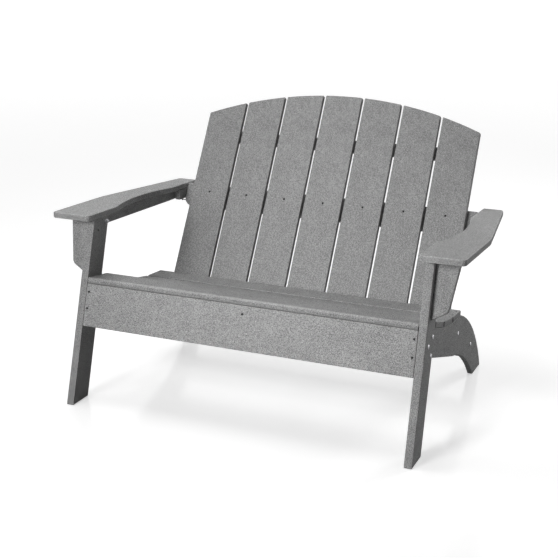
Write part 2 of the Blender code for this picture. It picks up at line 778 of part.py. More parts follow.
def fasten_arm_rails(bench):
    """One bolt from the outer face of each arm rail through the leg, near the leg's rear edge."""
    grip = THICK_BOARD + FIT + THIN_BOARD
    drop = THIN_BOARD + FIT + ARM_RAIL_DEPTH / 2
    edge = LEG_WIDTH - ARM_BOLT_EDGE_DISTANCE
    into = LEG_FRAME.inverted() @ ARM_FRAME
    start = into @ Vector((0, 0, -drop))
    end = into @ Vector((0, ARM_LENGTH, -drop))
    share = (edge - start.y) / (end.y - start.y)
    rise = start.z + (end.z - start.z) * share
    for side, sign in SIDES.items():
        point = frame_point(LEG_FRAME, sign * (LEG_OUTER_X + FIT + THIN_BOARD), edge, rise)
        boards = ["arm_rail_" + side, "front_leg_" + side]
        bench.bolt("arm_rail_bolt", side, boards, point, Vector((sign, 0, 0)), grip)


def fasten_cross_rails(bench):
    """Bolts through the stringers into the ends of the lower rail and the stretcher."""
    middle = lower_rail_top() - LOWER_RAIL_WIDTH / 2
    rail = frame_point(BACK_FRAME, 0, -FIT - THICK_BOARD / 2, middle)
    ends = {
        "lower_back_rail": (rail.y, rail.z),
        "rear_stretcher": STRETCHER,
    }
    for side, sign in SIDES.items():
        for board, (y, z) in ends.items():
            boards = ["side_stringer_" + side, board]
            point = Vector((sign * (LEG_INNER_X - FIT), y, z))
            bench.lag_bolt(board + "_bolt", side, boards, point, Vector((sign, 0, 0)), RAIL_BOLT_LENGTH)


def drill_apron(bench):
    """Two holes into each side stringer's front end and one into the centre stringer's."""
    top = apron_top() - APRON_SCREW_TOP - THIN_BOARD / 2
    out = frame_direction(LEG_FRAME, 0, -1, 0)
    spots = [(0, top, "centre_stringer")]
    for side, sign in SIDES.items():
        for rise in (top, top - APRON_SCREW_PITCH):
            spots.append((sign * STRINGER_MIDDLE_X, rise, "side_stringer_" + side))
    for x, rise, board in spots:
        point = frame_point(LEG_FRAME, x, 0, rise)
        bench.screw_hole(["front_apron", board], point, out, APRON_SCREW_LENGTH, FINE_SIDES)


def drill_seat(bench):
    """Holes down through the slats into the three stringers."""
    supports = {
        "side_stringer_left": -STRINGER_MIDDLE_X,
        "centre_stringer": 0,
        "side_stringer_right": STRINGER_MIDDLE_X,
    }
    narrowest = min(SLAT_WIDTHS, key=SLAT_WIDTHS.get)
    for name in SLAT_NAMES:
        frame = SLAT_FRAMES[name]
        out = frame_direction(frame, 0, 0, 1)
        for support, x in supports.items():
            single = name == narrowest or support == "centre_stringer"
            for share in NARROW_SLAT_SCREW_SHARES if single else WIDE_SLAT_SCREW_SHARES:
                point = frame_point(frame, x, SLAT_WIDTHS[name] * share, 0)
                bench.screw_hole([name, support], point, out, SEAT_SCREW_LENGTH, FINE_SIDES)


def drill_back(bench):
    """One row of holes from the front at the mid rail, and one from behind at the upper and lower rails."""
    front = frame_direction(BACK_FRAME, 0, -1, 0)
    rear = frame_direction(BACK_FRAME, 0, 1, 0)
    lower = lower_rail_top() - LOWER_RAIL_WIDTH / 2
    for index in range(BACK_SLAT_COUNT):
        x = -BACK_HALF_WIDTH + index * BACK_PITCH + BACK_SLAT_WIDTH / 2
        slat = f"back_slat_{index + 1}"
        point = frame_point(BACK_FRAME, x, 0, MID_SCREW_RISE)
        bench.screw_hole([slat, "mid_back_rail"], point, front, BACK_SCREW_LENGTH, FINE_SIDES)
        point = frame_point(BACK_FRAME, x, 2 * THIN_BOARD + FIT, UPPER_RAIL_RISE)
        bench.screw_hole(["upper_back_rail", slat], point, rear, UPPER_SCREW_LENGTH)
        point = frame_point(BACK_FRAME, x, THIN_BOARD, lower)
        bench.screw_hole([slat, "lower_back_rail"], point, rear, BACK_SCREW_LENGTH)
    for rise in (lower - RAIL_SCREW_SPREAD, lower + RAIL_SCREW_SPREAD):
        point = frame_point(BACK_FRAME, 0, -FIT, rise)
        bench.screw_hole(["lower_back_rail", "centre_stringer"], point, rear, CENTRE_SCREW_LENGTH)


def drill_arms(bench):
    """Holes up through the arm rails and blocks, into the mid rail's ends and through the legs."""
    down = frame_direction(ARM_FRAME, 0, 0, -1)
    top = -THIN_BOARD - FIT
    rail_x = LEG_OUTER_X + FIT + THIN_BOARD / 2
    block_x = arm_block_inner_x() + THIN_BOARD / 2
    block_y = arm_block_start() + ARM_BLOCK_LENGTH / 4
    mid_rise = MID_RAIL_RISE - MID_RAIL_WIDTH / 4
    mid = frame_point(BACK_FRAME, 0, THIN_BOARD + FIT + THICK_BOARD / 2, mid_rise)
    corbel_y = CORBEL_SETBACK + THIN_BOARD / 2
    corbel_rise = corbel_top_rise() - CORBEL_SCREW_DROP
    for side, sign in SIDES.items():
        outward = Vector((sign, 0, 0))
        for share in ARM_SCREW_SHARES:
            along = ARM_RAIL_START + (ARM_RAIL_END - ARM_RAIL_START) * share
            point = frame_point(ARM_FRAME, sign * rail_x, along, top - ARM_RAIL_DEPTH)
            bench.screw_hole(["arm_rail_" + side, "arm_" + side], point, down, ARM_RAIL_DEPTH + ARM_BITE)
        point = frame_point(ARM_FRAME, sign * block_x, block_y, top - ARM_BLOCK_DEPTH)
        bench.screw_hole(["arm_block_" + side, "arm_" + side], point, down, ARM_BLOCK_DEPTH + ARM_BITE)
        spot = Vector((sign * (arm_block_inner_x() + THIN_BOARD), mid.y, mid.z))
        bench.screw_hole(["arm_block_" + side, "mid_back_rail"], spot, outward, BLOCK_SCREW_LENGTH)
        point = frame_point(LEG_FRAME, sign * LEG_INNER_X, corbel_y, corbel_rise)
        bench.screw_hole(["front_leg_" + side, "corbel_" + side], point, -outward, CORBEL_SCREW_LENGTH)


def centre_on_floor(root):
    """Moves the root so that the whole stands on the floor with its box centred over the origin."""
    bpy.context.view_layer.update()
    graph = bpy.context.evaluated_depsgraph_get()
    low = Vector((math.inf, math.inf, math.inf))
    high = -low
    for item in root.children:
        if item.hide_render:
            continue
        solid = item.evaluated_get(graph)
        mesh = solid.to_mesh()
        for vertex in mesh.vertices:
            spot = solid.matrix_world @ vertex.co
            low = Vector(map(min, low, spot))
            high = Vector(map(max, high, spot))
        solid.to_mesh_clear()
    root.location = (-(low.x + high.x) / 2, -(low.y + high.y) / 2, -low.z)


def main():
    remove_everything()
    bench = Bench()
    make_front_legs(bench)
    make_front_apron(bench)
    make_seat_slats(bench)
    make_side_stringers(bench)
    make_centre_stringer(bench)
    make_back_slats(bench)
    make_back_rails(bench)
    make_rear_stretcher(bench)
    make_arms(bench)
    make_corbels(bench)
    make_arm_rails(bench)
    make_arm_blocks(bench)
    fasten_legs(bench)
    fasten_arm_rails(bench)
    fasten_cross_rails(bench)
    drill_apron(bench)
    drill_seat(bench)
    drill_back(bench)
    drill_arms(bench)
    bench.drill_boards()
    bench.shade_boards()
    centre_on_floor(bench.root)


main()
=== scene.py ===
"""Adirondack loveseat: the finish of its plastic lumber boards, and its screws, bolts, washers and nuts.

Metres, +Z up, -Y is the front. The frame's boards stay as they are and get their finish here.
The frame's bolts, washers and nuts are replaced by finer ones in the same places, and the countersunk
screws are added in the holes that the boards already have.
Leaning boards are worked on in turned axes, where X runs along the seat, Y across the board and Z along it.
"""
import math

import bmesh
import bpy
from mathutils import Matrix, Vector


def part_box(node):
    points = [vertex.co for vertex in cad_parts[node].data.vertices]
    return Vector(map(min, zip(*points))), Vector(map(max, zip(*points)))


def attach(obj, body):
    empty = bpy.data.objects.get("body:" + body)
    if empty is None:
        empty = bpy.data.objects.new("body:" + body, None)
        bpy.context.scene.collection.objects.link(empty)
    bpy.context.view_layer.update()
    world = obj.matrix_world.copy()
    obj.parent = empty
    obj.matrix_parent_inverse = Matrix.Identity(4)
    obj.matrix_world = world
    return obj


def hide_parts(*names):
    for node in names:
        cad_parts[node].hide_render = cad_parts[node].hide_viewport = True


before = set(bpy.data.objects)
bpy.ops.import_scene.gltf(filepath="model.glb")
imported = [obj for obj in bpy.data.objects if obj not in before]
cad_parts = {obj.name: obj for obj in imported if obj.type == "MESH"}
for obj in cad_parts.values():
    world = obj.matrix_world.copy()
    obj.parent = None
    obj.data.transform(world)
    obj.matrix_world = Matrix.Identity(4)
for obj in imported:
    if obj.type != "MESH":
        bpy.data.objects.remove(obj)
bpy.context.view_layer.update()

bl_info = {
    "name": "Adirondack loveseat",
    "version": (1, 0, 0),
    "blender": (4, 5, 0),
    "location": "3D View > Sidebar > Loveseat",
    "description": "Finishes the boards of a slatted loveseat and adds its screws and bolts",
    "category": "Add Mesh",
}

# Leans of the boards, which the screws and the pattern along each board follow
LEG_LEAN = math.radians(16)
BACK_RECLINE = math.radians(29.8)
ARM_FALL = math.radians(2.5)
STRINGER_FALL = math.radians(20)
SLAT_FALLS = {
    "seat_slat_1": math.radians(8.5),
    "seat_slat_2": math.radians(30),
    "seat_slat_3": math.radians(17.3),
    "seat_slat_4": math.radians(10.5),
    "seat_slat_5": math.radians(4),
}
SIDES = {"left": -1, "right": 1}
BACK_SLATS = sorted(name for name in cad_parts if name.startswith("back_slat_"))
ALONG_SEAT = Vector((1, 0, 0))

# Tone of each board, a factor on its colour; a board not named has a tone of 1. The tones are painted light
# and shade: the seat slats and back rails are darker as painted shade where the back and arms shade them,
# the outer back slats darker as painted shade where the light falls off, and the arms, apron and middle back
# slats lighter as painted light
BOARD_LIGHT_AND_SHADE_TONES = {
    "arm_left": 1.14,
    "arm_right": 1.14,
    "back_slat_1": 0.95,
    "back_slat_3": 1.03,
    "back_slat_4": 1.02,
    "back_slat_5": 0.97,
    "back_slat_6": 0.94,
    "back_slat_7": 0.9,
    "front_apron": 1.11,
    "mid_back_rail": 0.9,
    "seat_slat_1": 0.91,
    "seat_slat_2": 0.91,
    "seat_slat_3": 0.92,
    "seat_slat_4": 0.93,
    "seat_slat_5": 0.92,
    "upper_back_rail": 0.9,
}

# Boards whose lighter rounded edges stand out more, as a painted highlight, and how much more than elsewhere
HIGHLIT_EDGE_BOARDS = ("arm_left", "arm_right", "seat_slat_3", "seat_slat_4", "seat_slat_5")
HIGHLIT_EDGE_SHARE = 2.4

# Angles above which an edge stays sharp
BOARD_EDGE_ANGLE = math.radians(38)
STEEL_EDGE_ANGLE = math.radians(46)
MERGE_DISTANCE = 0.00001

# Corners of the frame's plain bolt heads and of a nut, steps round turned pieces, lobes of a screw's socket
PLAIN_HEAD_CORNERS = 8
NUT_CORNERS = 6
ROUND_STEPS = 48
SCREW_STEPS = 24
DOME_STEPS = 6
LOBES = 6

# Shares of a bolt head's radius
HEAD_HEIGHT_SHARE = 0.56
HEAD_RIM_SHARE = 0.12
HEAD_FOOT_SHARE = 0.95
SHANK_SHARE = 0.47
# Shares of a bolt's length that carries thread, and of its radius at a ridge's root and at its end
THREADED_SHARE = 0.2
ROOT_SHARE = 0.9
BOLT_TIP_SHARE = 0.76
# Shares of a washer's or nut's height, of a socket's radius and of a screw's radius
CHAMFER_SHARE = 0.08
LOBE_SHARE = 0.17
SCREW_TIP_SHARE = 0.2
NUT_SLOPE = math.radians(30)

# Places of the screws, as in the boards' holes
APRON_SCREW_TOP = 0.027
APRON_SCREW_PITCH = 0.0525
MID_SCREW_LIFT = 0.0105
RAIL_SCREW_SPREAD = 0.022
CORBEL_SCREW_DROP = 0.035
WIDE_SLAT_SCREW_SHARES = (0.25, 0.75)
NARROW_SLAT_SCREW_SHARES = (0.5,)
ARM_SCREW_SHARES = (0.3, 0.8)
BLOCK_SCREW_SHARE = 0.25
MID_RAIL_SCREW_SHARE = 0.25

# Depths of the screws' holes
SCREW_LENGTHS = {
    "apron_screws": 0.044,
    "seat_screws": 0.038,
    "back_screws_mid": 0.038,
    "back_screws_upper": 0.032,
    "back_screws_lower": 0.038,
    "centre_stringer_screws": 0.050,
    "arm_rail_screws": 0.051,
    "arm_block_screws": 0.047,
    "mid_rail_screws": 0.045,
    "corbel_screws": 0.050,
}

# Pattern of the plastic lumber: fineness of its noises, and shares of what they change
GRAIN_DETAIL = 2
CLOUD_DETAIL = 2
STREAK_DETAIL = 1
PEBBLES_PER_GRAIN = 0.55
PEBBLE_CONTRAST_SHARE = 0.07
DARKEST_SHARE = 0.2
GRAIN_ROUGHNESS_SWING = 0.3
EDGE_POLISH = 0.3
BOARD_SPECULAR = 0.25
# Smudges and scratches on the steel
SMUDGE_DETAIL = 3
SMUDGE_TONE_SWING = 0.5
SMUDGE_ROUGHNESS_SWING = 0.4
SCRATCHES_PER_SMUDGE = 6
SCRATCH_DETAIL = 1
LEAST_ROUGHNESS = 0.08

# Floor, and the sockets of a Mix node that mixes colours
FLOOR_SQUARES = 8
FLOOR_HAZE_SIZE = 0.35
FLOOR_ROUGHNESS_SWING = 0.05
MIX_FACTOR = 0
MIX_FIRST_COLOUR = 6
MIX_SECOND_COLOUR = 7
MIX_RESULT = 2

# Lamps: what each one is, its place, its size, its power and its spread
LAMPS = {
    "key": ("lamp at the front", (-0.7, -3.0, 1.6), 1.0, 6.9, math.radians(60)),
    "side": ("wide lamp at the front left", (-1.6, -3.8, 1.8), 1.6, 4.2, math.radians(60)),
    "top": ("lamp overhead", (-1.15, 0.2, 3.2), 1.6, 42, math.radians(180)),
    "back": ("lamp behind and to the right", (1.9, 2.5, 1.8), 1.0, 30, math.radians(180)),
}


class BoardFinish(bpy.types.PropertyGroup):
    """Look of the moulded plastic lumber"""

    colour: bpy.props.FloatVectorProperty(
        name="Colour",
        description="Colour of the boards before the speckle is laid over it",
        subtype="COLOR",
        size=3,
        min=0,
        max=1,
        default=(0.322, 0.322, 0.322),
    )
    grain_size: bpy.props.FloatProperty(
        name="Grain size",
        description="Width of one grain of the speckle",
        unit="LENGTH",
        min=0.0005,
        default=0.0014,
    )
    grain_contrast: bpy.props.FloatProperty(
        name="Grain contrast",
        description="How far the grains differ in tone",
        min=0,
        default=5.3,
    )
    grain_depth: bpy.props.FloatProperty(
        name="Grain depth",
        description="Height of the pebbled surface",
        unit="LENGTH",
        min=0,
        default=0.0004,
    )
    cloud_size: bpy.props.FloatProperty(
        name="Cloud size",
        description="Width of the soft light and dark clouds",
        unit="LENGTH",
        min=0.01,
        default=0.06,
    )
    cloud_contrast: bpy.props.FloatProperty(
        name="Cloud contrast",
        description="How far the clouds differ in tone",
        min=0,
        default=0.34,
    )
    streak_length: bpy.props.FloatProperty(
        name="Streak length",
        description="Length of the faint streaks along a board",
        unit="LENGTH",
        min=0.01,
        default=0.25,
    )
    streak_width: bpy.props.FloatProperty(
        name="Streak width",
        description="Width of the faint streaks along a board",
        unit="LENGTH",
        min=0.0005,
        default=0.0065,
    )
    streak_contrast: bpy.props.FloatProperty(
        name="Streak contrast",
        description="Strength of the faint streaks along a board",
        min=0,
        default=0.12,
    )
    # The rounded edges are made lighter: partly worn edges, partly a painted highlight
    edge_worn_and_highlit: bpy.props.FloatProperty(
        name="Worn and highlit edges",
        description="How much lighter the rounded edges are, partly worn and partly a painted highlight",
        min=0,
        default=0.35,
    )
    roughness: bpy.props.FloatProperty(
        name="Roughness",
        description="Middle roughness of the boards",
        subtype="FACTOR",
        min=0,
        max=1,
        default=0.55,
    )


class SteelFinish(bpy.types.PropertyGroup):
    """Look of the fasteners"""

    bolt_colour: bpy.props.FloatVectorProperty(
        name="Bolt colour",
        description="Colour of the bolts, washers and nuts",
        subtype="COLOR",
        size=3,
        min=0,
        max=1,
        default=(0.6, 0.6, 0.61),
    )
    # The screws are nearly black, so that their sunk heads look dark
    screw_colour: bpy.props.FloatVectorProperty(
        name="Screw colour",
        description="Colour of the countersunk screws, nearly black",
        subtype="COLOR",
        size=3,
        min=0,
        max=1,
        default=(0.03, 0.03, 0.03),
    )
    bolt_roughness: bpy.props.FloatProperty(
        name="Bolt roughness",
        description="Middle roughness of the bolts",
        subtype="FACTOR",
        min=0,
        max=1,
        default=0.26,
    )
    screw_roughness: bpy.props.FloatProperty(
        name="Screw roughness",
        description="Middle roughness of the screws",
        subtype="FACTOR",
        min=0,
        max=1,
        default=0.45,
    )
    mark_size: bpy.props.FloatProperty(
        name="Mark size",
        description="Width of the smudges and fine scratches on the steel",
        unit="LENGTH",
        min=0.0002,
        default=0.0015,
    )
    mark_depth: bpy.props.FloatProperty(
        name="Mark depth",
        description="Depth of the fine scratches",
        unit="LENGTH",
        min=0,
        default=0.00003,
    )


class FastenerSizes(bpy.types.PropertyGroup):
    """Sizes of the screws and bolts"""

    screw_head_radius: bpy.props.FloatProperty(
        name="Screw head radius",
        description="Radius of a countersunk head",
        unit="LENGTH",
        min=0.001,
        default=0.0037,
    )
    screw_head_depth: bpy.props.FloatProperty(
        name="Screw head depth",
        description="Depth of a countersunk head's cone",
        unit="LENGTH",
        min=0.0005,
        default=0.0024,
    )
    screw_shank_radius: bpy.props.FloatProperty(
        name="Screw shank radius",
        description="Radius of a screw below its head",
        unit="LENGTH",
        min=0.0005,
        default=0.0017,
    )
    screw_sink: bpy.props.FloatProperty(
        name="Screw sink",
        description="Depth of a screw's head below the board's face",
        unit="LENGTH",
        min=0,
        default=0.0018,
    )
    screw_tip: bpy.props.FloatProperty(
        name="Screw tip",
        description="Length of a screw's tapered tip",
        unit="LENGTH",
        min=0.0005,
        default=0.003,
    )
    hole_end_gap: bpy.props.FloatProperty(
        name="Hole end gap",
        description="Gap between a screw's tip and the end of its hole",
        unit="LENGTH",
        min=0,
        default=0.001,
    )
    socket_radius: bpy.props.FloatProperty(
        name="Socket radius",
        description="Middle radius of the six-lobed socket",
        unit="LENGTH",
        min=0.0003,
        default=0.0016,
    )
    socket_depth: bpy.props.FloatProperty(
        name="Socket depth",
        description="Depth of the socket",
        unit="LENGTH",
        min=0.0003,
        default=0.0014,
    )
    thread_pitch: bpy.props.FloatProperty(
        name="Thread pitch",
        description="Distance from one thread ridge to the next",
        unit="LENGTH",
        min=0.0004,
        default=0.001,
    )
    bolt_clearance: bpy.props.FloatProperty(
        name="Bolt clearance",
        description="Gap round a bolt's shank in its washer and nut",
        unit="LENGTH",
        min=0,
        default=0.0004,
    )


def lamp_settings():
    """Place, size, power and spread of every lamp, as annotations for the studio's settings."""
    settings = {}
    for name, (words, place, size, power, spread) in LAMPS.items():
        label = name.capitalize() + " lamp "
        settings[name + "_place"] = bpy.props.FloatVectorProperty(
            name=label + "place",
            description="Place of the " + words,
            subtype="TRANSLATION",
            size=3,
            default=place,
        )
        settings[name + "_size"] = bpy.props.FloatProperty(
            name=label + "size",
            description="Width and height of the " + words,
            unit="LENGTH",
            min=0.1,
            default=size,
        )
        settings[name + "_power"] = bpy.props.FloatProperty(
            name=label + "power",
            description="Power in watts of the " + words,
            unit="POWER",
            min=0,
            default=power,
        )
        settings[name + "_spread"] = bpy.props.FloatProperty(
            name=label + "spread",
            description="Angle of the cone of light from the " + words,
            unit="ROTATION",
            default=spread,
        )
    return settings


class StudioSettings(bpy.types.PropertyGroup):
    """Camera, lamps and floor"""

    camera_place: bpy.props.FloatVectorProperty(
        name="Camera place",
        description="Where the camera stands",
        subtype="TRANSLATION",
        size=3,
        default=(1.4535, -3.4741, 1.5271),
    )
    camera_yaw: bpy.props.FloatProperty(
        name="Camera yaw",
        description="Turn of the camera round the vertical",
        unit="ROTATION",
        default=0.40811,
    )
    camera_pitch: bpy.props.FloatProperty(
        name="Camera pitch",
        description="How far the camera looks down",
        unit="ROTATION",
        default=0.24619,
    )
    camera_roll: bpy.props.FloatProperty(
        name="Camera roll",
        description="Turn of the camera round its line of sight",
        unit="ROTATION",
        default=0.00301,
    )
    focal_length: bpy.props.FloatProperty(
        name="Focal length",
        description="Focal length of the lens in millimetres",
        unit="CAMERA",
        min=1,
        default=76.923,
    )
    sensor_width: bpy.props.FloatProperty(
        name="Sensor width",
        description="Width of the camera's sensor in millimetres",
        unit="CAMERA",
        min=1,
        default=36,
    )
    lens_rise: bpy.props.FloatProperty(
        name="Lens rise",
        description="Vertical lens shift as a share of the picture's width",
        default=-0.12,
    )
    lens_slide: bpy.props.FloatProperty(
        name="Lens slide",
        description="Sideways lens shift as a share of the picture's width",
        default=0.0009,
    )
    floor_colour: bpy.props.FloatVectorProperty(
        name="Floor colour",
        description="Colour of the studio floor",
        subtype="COLOR",
        size=3,
        min=0,
        max=1,
        default=(0.85, 0.85, 0.85),
    )
    floor_bounce: bpy.props.FloatVectorProperty(
        name="Floor bounce",
        description="Colour of the floor for all rays but the camera's, so for the light it throws back",
        subtype="COLOR",
        size=3,
        min=0,
        max=1,
        default=(0.5, 0.5, 0.5),
    )
    floor_glow: bpy.props.FloatProperty(
        name="Floor glow",
        description="Light added to the floor for the camera alone, so that it is white outside the shadows",
        min=0,
        default=0.562,
    )
    floor_roughness: bpy.props.FloatProperty(
        name="Floor roughness",
        description="Middle roughness of the floor",
        subtype="FACTOR",
        min=0,
        max=1,
        default=0.16,
    )
    floor_reach: bpy.props.FloatProperty(
        name="Floor reach",
        description="Distance from the middle of the floor to its edges",
        unit="LENGTH",
        min=1,
        default=30,
    )
    floor_drop: bpy.props.FloatProperty(
        name="Floor drop",
        description="Gap between the feet and the floor",
        unit="LENGTH",
        min=0,
        default=0.0005,
    )
    aim: bpy.props.FloatVectorProperty(
        name="Aim",
        description="Point that the lamps face",
        subtype="TRANSLATION",
        size=3,
        default=(0.2, -0.3, 0.62),
    )
    sky_strength: bpy.props.FloatProperty(
        name="Sky strength",
        description="Even light from all round",
        min=0,
        default=0.02,
    )


StudioSettings.__annotations__.update(lamp_settings())


class LoveseatSettings(bpy.types.PropertyGroup):
    """All settings of the loveseat"""

    boards: bpy.props.PointerProperty(name="Boards", description="Finish of the boards", type=BoardFinish)
    steel: bpy.props.PointerProperty(name="Steel", description="Finish of the fasteners", type=SteelFinish)
    fasteners: bpy.props.PointerProperty(
        name="Fasteners", description="Sizes of the fasteners", type=FastenerSizes
    )
    studio: bpy.props.PointerProperty(
        name="Studio", description="Camera, lamps and floor", type=StudioSettings
    )


def upright(lean):
    """Direction along a board whose top leans rearwards, or out of the top of one that falls to the rear."""
    return Vector((0, math.sin(lean), math.cos(lean)))


def level(fall):
    """Direction rearwards along a board that falls to the rear, or through one whose top leans rearwards."""
    return Vector((0, math.cos(fall), -math.sin(fall)))


def node_object(name):
    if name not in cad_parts:
        raise RuntimeError("the frame has no board or fastener named " + name)
    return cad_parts[name]


def turned_box(name, lean):
    """Turn of a leaning board, and its lowest and highest corners in the turned axes."""
    turn = Matrix.Rotation(-lean, 4, "X")
    back = turn.inverted()
    spots = [back @ vertex.co for vertex in node_object(name).data.vertices]
    low = Vector(min(spot[axis] for spot in spots) for axis in range(3))
    high = Vector(max(spot[axis] for spot in spots) for axis in range(3))
    return turn, low, high


# Shader node groups


def new_group(name, inputs, outputs):
    """Empty shader group; inputs and outputs are (name, kind) rows."""
    group = bpy.data.node_groups.new(name, "ShaderNodeTree")
    for direction, rows in (("INPUT", inputs), ("OUTPUT", outputs)):
        for label, kind in rows:
            group.interface.new_socket(label, in_out=direction, socket_type="NodeSocket" + kind)
    return group


def maths(tree, operation, *values):
    """Math node fed by sockets or numbers; gives its output socket."""
    node = tree.nodes.new("ShaderNodeMath")
    node.operation = operation
    for socket, value in zip(node.inputs, values):
        if isinstance(value, (int, float)):
            socket.default_value = value
        else:
            tree.links.new(value, socket)
    return node.outputs[0]


def swing(tree, value, contrast):
    """A texture's value round its middle, times a contrast."""
    return maths(tree, "MULTIPLY", maths(tree, "SUBTRACT", value, 0.5), contrast)


def noise(tree, vector, size, detail):
    """Noise whose spots are about as wide as the size."""
    node = tree.nodes.new("ShaderNodeTexNoise")
    node.inputs["Detail"].default_value = detail
    tree.links.new(vector, node.inputs["Vector"])
    tree.links.new(maths(tree, "DIVIDE", 1, size), node.inputs["Scale"])
    return node.outputs["Fac"]


def streaks(tree, vector, length, width):
    """Noise that is drawn out along X."""
    parts = tree.nodes.new("ShaderNodeSeparateXYZ")
    joined = tree.nodes.new("ShaderNodeCombineXYZ")
    tree.links.new(vector, parts.inputs[0])
    for index, size in enumerate((length, width, width)):
        tree.links.new(maths(tree, "DIVIDE", parts.outputs[index], size), joined.inputs[index])
    node = tree.nodes.new("ShaderNodeTexNoise")
    node.inputs["Scale"].default_value = 1
    node.inputs["Detail"].default_value = STREAK_DETAIL
    tree.links.new(joined.outputs[0], node.inputs["Vector"])
    return node.outputs["Fac"]


def scaled_colour(tree, colour, factor):
    node = tree.nodes.new("ShaderNodeVectorMath")
    node.operation = "SCALE"
    tree.links.new(colour, node.inputs[0])
    tree.links.new(factor, node.inputs["Scale"])
    return node.outputs[0]


def plastic_group():
    """Speckle, clouds and streaks of the plastic lumber; X of its vector runs along the board."""
    name = "plastic_lumber_pattern"
    if name in bpy.data.node_groups:
        return bpy.data.node_groups[name]
    group = new_group(
        name,
        (
            ("Vector", "Vector"),
            ("Colour", "Color"),
            ("Tone", "Float"),
            ("Grain Size", "Float"),
            ("Grain Contrast", "Float"),
            ("Cloud Size", "Float"),
            ("Cloud Contrast", "Float"),
            ("Streak Length", "Float"),
            ("Streak Width", "Float"),
            ("Streak Contrast", "Float"),
            ("Edge", "Float"),
            ("Roughness", "Float"),
        ),
        (("Colour", "Color"), ("Roughness", "Float"), ("Height", "Float")),
    )
    given = group.nodes.new("NodeGroupInput").outputs
    result = group.nodes.new("NodeGroupOutput").inputs

    grains = noise(group, given["Vector"], given["Grain Size"], GRAIN_DETAIL)
    pebbles = group.nodes.new("ShaderNodeTexVoronoi")
    pebbles.feature = "SMOOTH_F1"
    group.links.new(given["Vector"], pebbles.inputs["Vector"])
    group.links.new(maths(group, "DIVIDE", PEBBLES_PER_GRAIN, given["Grain Size"]), pebbles.inputs["Scale"])
    cell = group.nodes.new("ShaderNodeSeparateColor")
    group.links.new(pebbles.outputs["Color"], cell.inputs[0])
    clouds = noise(group, given["Vector"], given["Cloud Size"], CLOUD_DETAIL)
    lines = streaks(group, given["Vector"], given["Streak Length"], given["Streak Width"])

    cell_contrast = maths(group, "MULTIPLY", given["Grain Contrast"], PEBBLE_CONTRAST_SHARE)
    # The edge mask lightens the rounded edges: partly worn edges, partly a painted highlight
    factor = maths(group, "ADD", 1, given["Edge"])
    for value, contrast in (
        (grains, given["Grain Contrast"]),
        (cell.outputs[0], cell_contrast),
        (clouds, given["Cloud Contrast"]),
        (lines, given["Streak Contrast"]),
    ):
        factor = maths(group, "ADD", factor, swing(group, value, contrast))
    # The Tone input scales the whole board's colour: painted light and shade
    factor = maths(group, "MAXIMUM", maths(group, "MULTIPLY", factor, given["Tone"]), DARKEST_SHARE)
    group.links.new(scaled_colour(group, given["Colour"], factor), result["Colour"])

    rough = maths(group, "ADD", given["Roughness"], swing(group, grains, GRAIN_ROUGHNESS_SWING))
    rough = maths(group, "SUBTRACT", rough, maths(group, "MULTIPLY", given["Edge"], EDGE_POLISH))
    group.links.new(rough, result["Roughness"])
    domes = maths(group, "SUBTRACT", 1, pebbles.outputs["Distance"])
    height = maths(group, "MULTIPLY", maths(group, "ADD", domes, grains), 0.5)
    group.links.new(height, result["Height"])
    return group


def edge_group():
    """Mask of the rounded edges: full halfway between a board's face and its edge, none on both."""
    name = "rounded_edge_mask"
    if name in bpy.data.node_groups:
        return bpy.data.node_groups[name]
    group = new_group(name, (("Across", "Vector"), ("Lift", "Float")), (("Mask", "Float"),))
    given = group.nodes.new("NodeGroupInput").outputs
    result = group.nodes.new("NodeGroupOutput").inputs
    surface = group.nodes.new("ShaderNodeNewGeometry")
    facing = group.nodes.new("ShaderNodeVectorMath")
    facing.operation = "DOT_PRODUCT"
    group.links.new(surface.outputs["Normal"], facing.inputs[0])
    group.links.new(given["Across"], facing.inputs[1])
    square = maths(group, "MULTIPLY", facing.outputs["Value"], facing.outputs["Value"])
    between = maths(group, "MULTIPLY", square, maths(group, "SUBTRACT", 1, square))
    mask = maths(group, "MULTIPLY", maths(group, "MULTIPLY", between, 4), given["Lift"])
    group.links.new(mask, result["Mask"])
    return group


def steel_group():
    """Smudges and fine scratches on the fasteners."""
    name = "steel_marks"
    if name in bpy.data.node_groups:
        return bpy.data.node_groups[name]
    group = new_group(
        name,
        (("Vector", "Vector"), ("Colour", "Color"), ("Roughness", "Float"), ("Mark Size", "Float")),
        (("Colour", "Color"), ("Roughness", "Float"), ("Height", "Float")),
    )
    given = group.nodes.new("NodeGroupInput").outputs
    result = group.nodes.new("NodeGroupOutput").inputs
    smudges = noise(group, given["Vector"], given["Mark Size"], SMUDGE_DETAIL)
    scratch_size = maths(group, "DIVIDE", given["Mark Size"], SCRATCHES_PER_SMUDGE)
    scratches = noise(group, given["Vector"], scratch_size, SCRATCH_DETAIL)
    shade = maths(group, "ADD", 1, swing(group, smudges, SMUDGE_TONE_SWING))
    group.links.new(scaled_colour(group, given["Colour"], shade), result["Colour"])
    rough = maths(group, "ADD", given["Roughness"], swing(group, smudges, SMUDGE_ROUGHNESS_SWING))
    group.links.new(maths(group, "MAXIMUM", rough, LEAST_ROUGHNESS), result["Roughness"])
    group.links.new(scratches, result["Height"])
    return group


# Materials


def new_material(name):
    """Material with a Principled shader, its node tree and the shader's inputs."""
    material = bpy.data.materials.new(name)
    material.use_nodes = True
    tree = material.node_tree
    return material, tree, tree.nodes["Principled BSDF"].inputs


def place_group(tree, group, values):
    """Group node in a material, with the values of its named inputs."""
    node = tree.nodes.new("ShaderNodeGroup")
    node.node_tree = group
    for label, value in values.items():
        node.inputs[label].default_value = value
    return node


